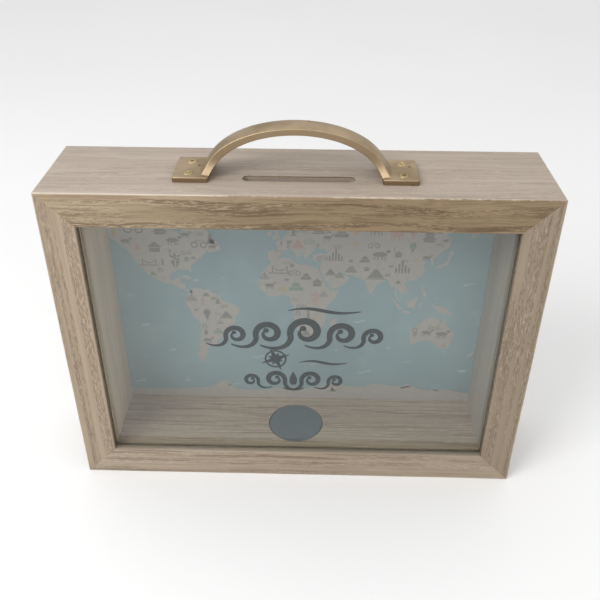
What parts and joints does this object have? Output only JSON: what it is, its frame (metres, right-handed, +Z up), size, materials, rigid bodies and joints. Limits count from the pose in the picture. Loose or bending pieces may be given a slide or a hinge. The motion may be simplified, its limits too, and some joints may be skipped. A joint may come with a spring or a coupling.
{
  "type": "money box",
  "caption": "Suitcase-style wooden money box: glazed mitred shadow-box case with a coin slot in the top, a carry handle and a round stopper in the base.",
  "frame": {"origin": "under the middle of the case, on the surface that it stands on", "axes": "+X to the viewer's right along the case, -Y out of the glazed front, +Z up through the handle"},
  "size_m": [0.25, 0.058, 0.2086],
  "materials": {
    "oak_veneer": "limed oak veneer with dark pore streaks running along each moulding, satin",
    "liner_veneer": "plain greige oak-look strips, matt",
    "glass": "clear 2 mm picture glass with a dark teal ornament printed on its inner face",
    "printed_card": "matt printed card, muted blue sea and pale land",
    "fibreboard": "bare brown hardboard",
    "antique_brass": "cast antique brass, worn bright on the edges",
    "screw_brass": "brass-plated cross-recess screws",
    "zinc_steel": "zinc-plated steel",
    "rubber": "matt blue-grey moulded rubber"
  },
  "bodies": {
    "case": {"case_top": "oak_veneer", "case_base": "oak_veneer", "case_left": "oak_veneer", "case_right": "oak_veneer", "liner_base": "liner_veneer", "liner_top": "liner_veneer", "liner_left": "liner_veneer", "liner_right": "liner_veneer", "corner_nail_left_top": "zinc_steel", "corner_nail_right_top": "zinc_steel", "corner_nail_left_base": "zinc_steel", "corner_nail_right_base": "zinc_steel", "back_tab_top_1": "zinc_steel", "back_tab_top_2": "zinc_steel", "back_tab_top_3": "zinc_steel", "back_tab_base_1": "zinc_steel", "back_tab_base_2": "zinc_steel", "back_tab_base_3": "zinc_steel", "back_tab_left_1": "zinc_steel", "back_tab_left_2": "zinc_steel", "back_tab_right_1": "zinc_steel", "back_tab_right_2": "zinc_steel", "handle_screw_left_front": "screw_brass", "handle_screw_left_rear": "screw_brass", "handle_screw_right_front": "screw_brass", "handle_screw_right_rear": "screw_brass", "glass_pane": "glass", "map_card": "printed_card", "back_panel": "fibreboard", "handle": "antique_brass"},
    "stopper": {"stopper": "rubber"}
  },
  "joints": [
    {"name": "stopper_pull", "type": "slide", "parent": "case", "child": "stopper", "axis": [0, 0, -1], "range_m": [0, 0.045]}
  ]
}
